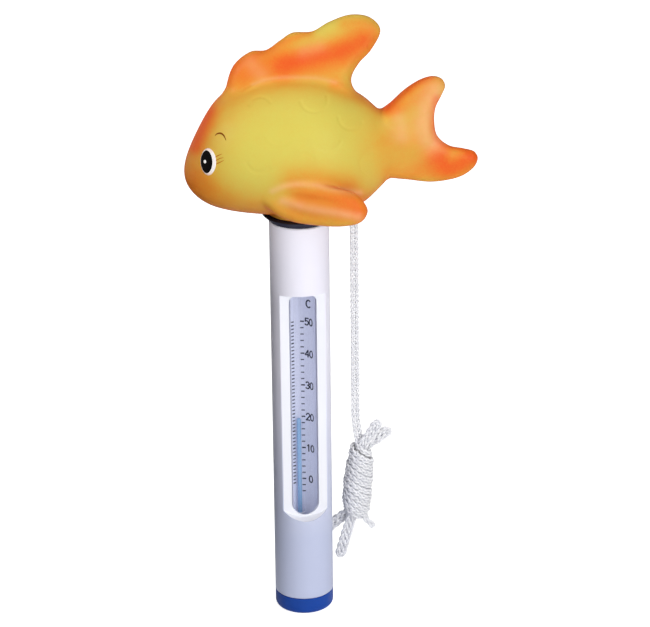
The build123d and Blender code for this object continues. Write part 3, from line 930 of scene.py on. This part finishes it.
JOINTS = {joint["name"]: joint for joint in frame["record"]["behaviour"]["joints"]}
EYELET, SWAY, PIVOT = (np.array(JOINTS[j]["pos_m"]) / MM for j in ("cord_swing", "cord_sway", "hank_swing"))
RADIAL = np.array(JOINTS["cord_sway"]["axis"], float)
SIDEWAYS = np.cross((0, 0, 1), RADIAL)
UP = np.array((0.0, 0.0, 1.0))
FRONT = np.array((0.0, -1.0, 0.0))

YARN_R = 0.44            # one of the three yarns of the plait
YARN_SIDES = 7
PLAIT_SWING = 0.58       # how far a yarn swings to either side
PLAIT_DEPTH = 0.30       # how far it dips under and over the other two
PLAIT_PITCH = 6.9        # length of cord for a yarn to come back to its side
CORD_STEP = 0.42         # length of cord from ring to ring
STRAND_OFFSET = 0.98     # from the middle between the two hanging strands to each
BAR_CLEARANCE = 2.05     # the same where they pass the eyelet's bar
CORD_SPLIT = 117.0       # height at which the upper and the lower length of the strands meet
HANK_ENTRY = PIVOT[2] - 16


def resampled(path, step):
    """The path in even steps, and the length of path to each of its points."""
    length = np.concatenate([[0], np.cumsum(np.linalg.norm(np.diff(path, axis=0), axis=1))])
    count = max(4, int(length[-1] / step))
    at = np.linspace(0, length[-1], count)
    return np.stack([np.interp(at, length, path[:, k]) for k in range(3)], 1), at


def path_length(path):
    return resampled(path, CORD_STEP)[1][-1]


def plait(path, facing, size=1.0, start=0.0):
    """Three interlaced yarns along a path.

    Facing is where the plait's flat side looks, and start is the length of cord before the path begins.
    """
    path, length = resampled(np.asarray(path, float), CORD_STEP)
    along = headings(path)
    out = facing(path) if callable(facing) else np.tile(facing, (len(path), 1))
    out = unit(out - along * (out * along).sum(1, keepdims=True))
    wide = np.cross(along, out)
    shapes = []
    for yarn in range(3):
        phase = 2 * math.pi * ((start + length) / (PLAIT_PITCH * size) + yarn / 3)
        swing, dip = PLAIT_SWING * size * np.sin(phase), PLAIT_DEPTH * size * np.sin(2 * phase)
        shapes.append(yarn_tube(path + wide * swing[:, None] + out * dip[:, None], out, YARN_R * size))
    return join_shapes(shapes)


def yarn_tube(centre, out, radius):
    """One yarn about its centre line: a little flat, and rounded off at both ends."""
    along = headings(centre)
    wide = unit(np.cross(along, out))
    out = np.cross(wide, along)
    angles = around(YARN_SIDES)[:, None]
    size = np.full(len(centre), radius)
    size[[0, -1]] = radius * 0.55
    ring = wide[:, None] * np.cos(angles) + out[:, None] * np.sin(angles) * 0.92
    points = (centre[:, None] + ring * size[:, None, None]).reshape(-1, 3)
    faces, first, last = tube_faces(len(centre), YARN_SIDES)
    return points, [first, last[::-1]] + [face[::-1] for face in faces]


def strand_path(side, low, high):
    """One hanging strand, from low up to high, easing outwards to pass the eyelet bar."""
    heights = np.linspace(low, high, max(3, int((high - low) / 1.0)))
    off = STRAND_OFFSET + (BAR_CLEARANCE - STRAND_OFFSET) * smooth_step(SWAY[2] + 1, EYELET[2], heights)
    return np.array([EYELET * (1, 1, 0) + RADIAL * side * o + UP * z for o, z in zip(off, heights)])


def over_the_bar():
    """The cord's bend over the eyelet's bar."""
    angles = np.linspace(0, math.pi, 14)[1:-1]
    return np.array([EYELET + BAR_CLEARANCE * (RADIAL * math.cos(a) + UP * math.sin(a)) for a in angles])


HANK_TILT = math.radians(6.5)
HANK_AXIS = np.array((math.sin(HANK_TILT), 0.0, math.cos(HANK_TILT)))
HANK_CENTRE = PIVOT + (1.0, -0.2, -26.0)
HANK_HALF = 15.2         # half the wound length
HANK_TURNS = 11.5
WRAP_SLANT = math.tan(math.radians(24))
WRAP_R = spline_1d((-HANK_HALF, -8, 0, 8, HANK_HALF), (4.6, 5.4, 5.35, 4.9, 4.0))
WRAP_TUCK = 1.6          # how far the first and the last turn dive inwards
WRAP_WAVES = ((0.16, 2.3), (0.1, 5.1))  # height and rate of its unevenness
# The cord swells where it is not pulled tight, and its cut end has frayed
WRAP_SIZE, BIGHT_SIZE, END_SIZE = 1.24, 1.3, 1.5
# Bights seen from the hank's pivot: root, tip, half spread, inner end of the legs
BIGHTS = (
    ((2.6, -1.4, -10.5), (9.2, -2.6, 1.0), 1.15, (1.6, -1.4, -20)),
    ((4.2, 1.0, -11.5), (13.6, 1.0, -4.0), 1.15, (2.2, 1.4, -20)),
    ((-1.6, 0.6, -39.0), (-12.8, 3.0, -50.0), 1.2, (0.2, 1.6, -30)),
    ((-1.4, -1.2, -40.0), (-7.0, -1.4, -60.0), 1.1, (0.2, -1.4, -30)),
)
LOOSE_END = ((1.4, -0.6, -32), (2.6, -0.8, -40.5), (4.4, -1.0, -44.0), (7.4, -1.2, -47.2))


def hank_wraps():
    """The wound turns, slanting down to the right, as uneven as winding by hand."""
    turn = np.linspace(0, HANK_TURNS, int(HANK_TURNS * 40))
    height = -HANK_HALF + 2 * HANK_HALF * turn / HANK_TURNS
    radius = WRAP_R(height)
    for (wave, rate), phase in zip(WRAP_WAVES, rng.uniform(0, 6, 2)):
        radius = radius + wave * np.sin(rate * turn + phase)
    for end in (0, HANK_TURNS):
        radius = radius - WRAP_TUCK * smooth_step(0.7, 0.0, np.abs(turn - end))
    angle = -2 * math.pi * turn
    right, back = radius * np.cos(angle), radius * np.sin(angle)
    lift = height - WRAP_SLANT * right
    side_axis = np.cross((0, 1, 0), HANK_AXIS)
    path = HANK_CENTRE + np.outer(lift, HANK_AXIS) + np.outer(right, side_axis)
    path[:, 1] += back

    def outward(points):
        off = points - HANK_CENTRE
        return off - np.outer(off @ HANK_AXIS, HANK_AXIS)

    return plait(path, outward, WRAP_SIZE)


def bight(root, tip, spread, inner):
    """A bend of cord that stands out of the hank, its two legs running back inside."""
    root, tip, inner = (PIVOT + np.array(p) for p in (root, tip, inner))
    along, across = unit(np.array([tip - root, np.cross(tip - root, FRONT)]))
    bend = spread * 1.1
    last = tip - along * bend
    legs = ((inner, 0.7), (root, spread * 0.85), ((root + tip) / 2, spread), (last, spread))
    points = [place + across * off for place, off in legs]
    points += [last + across * spread * c + along * bend * s for c, s in ((0.8, 0.6), (0, 1), (-0.8, 0.6))]
    points += [place - across * off for place, off in reversed(legs)]
    return plait(smooth_outline(points, closed=False, steps=8), FRONT, BIGHT_SIZE)


def build_cord():
    up, down = (strand_path(side, CORD_SPLIT, EYELET[2]) for side in (1, -1))
    crown = np.vstack([up, over_the_bar(), down[::-1]])
    above = [plait(crown, SIDEWAYS)]
    lap = 2 * CORD_STEP
    rising, falling = (strand_path(side, HANK_ENTRY, CORD_SPLIT + lap) for side in (1, -1))
    for strand in (rising, falling):
        strand[:, 0] += 1.6 * smooth_step(PIVOT[2] + 4, HANK_ENTRY + 4, strand[:, 2])
    # Both strands carry on the crown's plait where they lap its ends
    below = [
        plait(rising, SIDEWAYS, start=lap - path_length(rising)),
        plait(falling[::-1], SIDEWAYS, start=path_length(crown) - lap),
    ]
    loose_end = smooth_outline(PIVOT + np.array(LOOSE_END), closed=False)
    hank = [hank_wraps(), plait(loose_end, FRONT, END_SIZE), *(bight(*shape) for shape in BIGHTS)]
    look = braided_nylon("cord_nylon")
    pieces = {
        "cord_upper": ("cord_loop", above),
        "cord_lower": ("cord_drop", below),
        "cord_hank_wound": ("cord_hank", hank),
    }
    made = {}
    for name, (node, shapes) in pieces.items():
        made[name] = new_mesh(name, *join_shapes(shapes), look)
        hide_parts(node)
    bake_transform(made["cord_upper"])
    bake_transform(made["cord_lower"])
    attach(made["cord_hank_wound"], "tether_hank")


# ------------ CAD nodes


def dress_cad_nodes():
    """Materials of the pieces that keep their CAD shape."""
    foam = dict(grain_mm=0.8, grain_depth_mm=0.12, tint=0.1)
    looks = {
        "outer_tube": white_tube("tube_abs"),
        "bottom_cap": moulded("cap_blue", rgb(8, 66, 158), 0.4, 1.2, 0.008, Specular_IOR_Level=0.25),
        "top_cap": moulded("cap_navy", rgb(11, 14, 44), 0.5, 1.2, 0.008, Specular_IOR_Level=0.15),
        "bottom_seal": moulded("seal_nitrile", rgb(28, 28, 30), 0.6, 0.4),
        "top_seal": moulded("seal_nitrile_top", rgb(28, 28, 30), 0.6, 0.4),
        "ballast_weight": moulded("ballast_turned", rgb(150, 150, 154), 0.35, 0.3, 0.01, Metallic=1.0),
        "ballast_pad": moulded("pad_grey_foam", rgb(120, 120, 124), 0.9, **foam),
        "bulb_pad": moulded("pad_white_foam", rgb(222, 222, 220), 0.9, **foam),
        "lower_collar": moulded("collar_low", rgb(214, 215, 220), 0.5, 0.8),
        "upper_collar": moulded("collar_high", rgb(214, 215, 220), 0.5, 0.8),
        "neck_plug": moulded("plug_natural", rgb(226, 224, 214), 0.45, 0.8),
        "tube_stopper": moulded("stopper_frosted", rgb(216, 220, 228), 0.4, 0.8),
        "scale_card": printed_card("card_print_stock"),
        "clear_tube": clear("tube_clear", rgb(236, 240, 250), 0.0, 0.12, 0.08),
        "capillary_glass": clear("glass_drawn", rgb(236, 240, 250), 0.0, 0.06, 0.05),
        "capillary_clips": moulded("clip_enamel", rgb(214, 217, 230), 0.5, 0.2, 0.004),
        "bulb_spirit": dyed_spirit("bulb_dye"),
    }
    for node, look in looks.items():
        obj = frame["nodes"][node]
        for slot in obj.material_slots:
            slot.material = look
    edge = frame["nodes"]["outer_tube"].modifiers.new("soft_edges", "BEVEL")
    edge.width, edge.segments, edge.angle_limit = 0.6 * MM, 3, math.radians(35)


# ------------ stage


def lamp(name, light, watts, place, target):
    """Hangs a light that the camera itself does not see. Places on the stage are in metres."""
    light.energy = watts
    obj = new_object(name, light)
    obj.location = place
    obj.rotation_euler = (Vector(target) - Vector(place)).to_track_quat("-Z", "Y").to_euler()
    obj.visible_camera = False


def softbox(name, size, watts, place, target):
    light = bpy.data.lights.new(name, "AREA")
    light.shape, light.size = "SQUARE", size
    lamp(name, light, watts, place, target)


def soft_spot(name, degrees, watts, place, target):
    light = bpy.data.lights.new(name, "SPOT")
    light.spot_size, light.spot_blend, light.shadow_soft_size = math.radians(degrees), 1.0, 0.06
    lamp(name, light, watts, place, target)


def flag():
    """Dark card, as photographers use, that keeps light off the tube's left side."""
    x, near, far, top = -75.0, -60.0, 90.0, 176.0
    corners = [(x, near, 1), (x, far, 1), (x, far, top), (x, near, top)]
    obj = new_mesh("flag", corners, [(0, 1, 2, 3)], moulded("flag_cloth", rgb(40, 40, 46), 0.9, 1.0))
    obj.visible_camera = False


def build_stage():
    half = 5000.0
    corners = [(-half, -half, 0), (half, -half, 0), (half, half, 0), (-half, half, 0)]
    new_mesh("floor", corners, [(0, 1, 2, 3)], floor_look())
    flag()
    softbox("key", 0.25, 1.08, (0.25, -0.40, 0.24), (0, 0, 0.16))
    softbox("front", 0.25, 0.22, (-0.10, -0.46, 0.20), (0, 0, 0.17))
    soft_spot("recess", 3.0, 35.0, (0.02, -0.26, 0.95), (0, -0.014, 0.050))
    softbox("top", 0.6, 1.2, (0.05, -0.4, 0.95), (0, 0, 0.12))
    soft_spot("forehead", 5.8, 56.0, (-1.0, -0.45, 0.72), (-0.052, 0, 0.254))
    world = bpy.data.worlds.new("studio")
    world.use_nodes = True
    backdrop = world.node_tree.nodes["Background"]
    backdrop.inputs["Color"].default_value = (0.97, 0.98, 1.0, 1.0)
    backdrop.inputs["Strength"].default_value = 0.39
    bpy.context.scene.world = world
    bpy.context.scene.view_settings.view_transform = "Standard"
    # The card lies behind the window, the glass and its bore, which light crosses twice
    bpy.context.scene.cycles.transparent_max_bounces = 32


def build_camera():
    """The photograph's view: a long lens, looking down on the thermometer."""
    down, aside, roll = math.radians(21.703), math.radians(0.498), math.radians(-0.674)
    camera = bpy.data.cameras.new("camera")
    camera.sensor_width, camera.lens = 36.0, 169.1
    obj = new_object("camera", camera)
    obj.matrix_world = Matrix.Translation((0.0, -1.1416, 0.584))
    for angle, axis in ((-aside, "Z"), (math.pi / 2 - down, "X"), (roll, "Z")):
        obj.matrix_world @= Matrix.Rotation(angle, 4, axis)
    bpy.context.scene.camera = obj


build_fish()
dress_cad_nodes()
build_scale_print()
build_spirit()
build_cord()
build_stage()
build_camera()
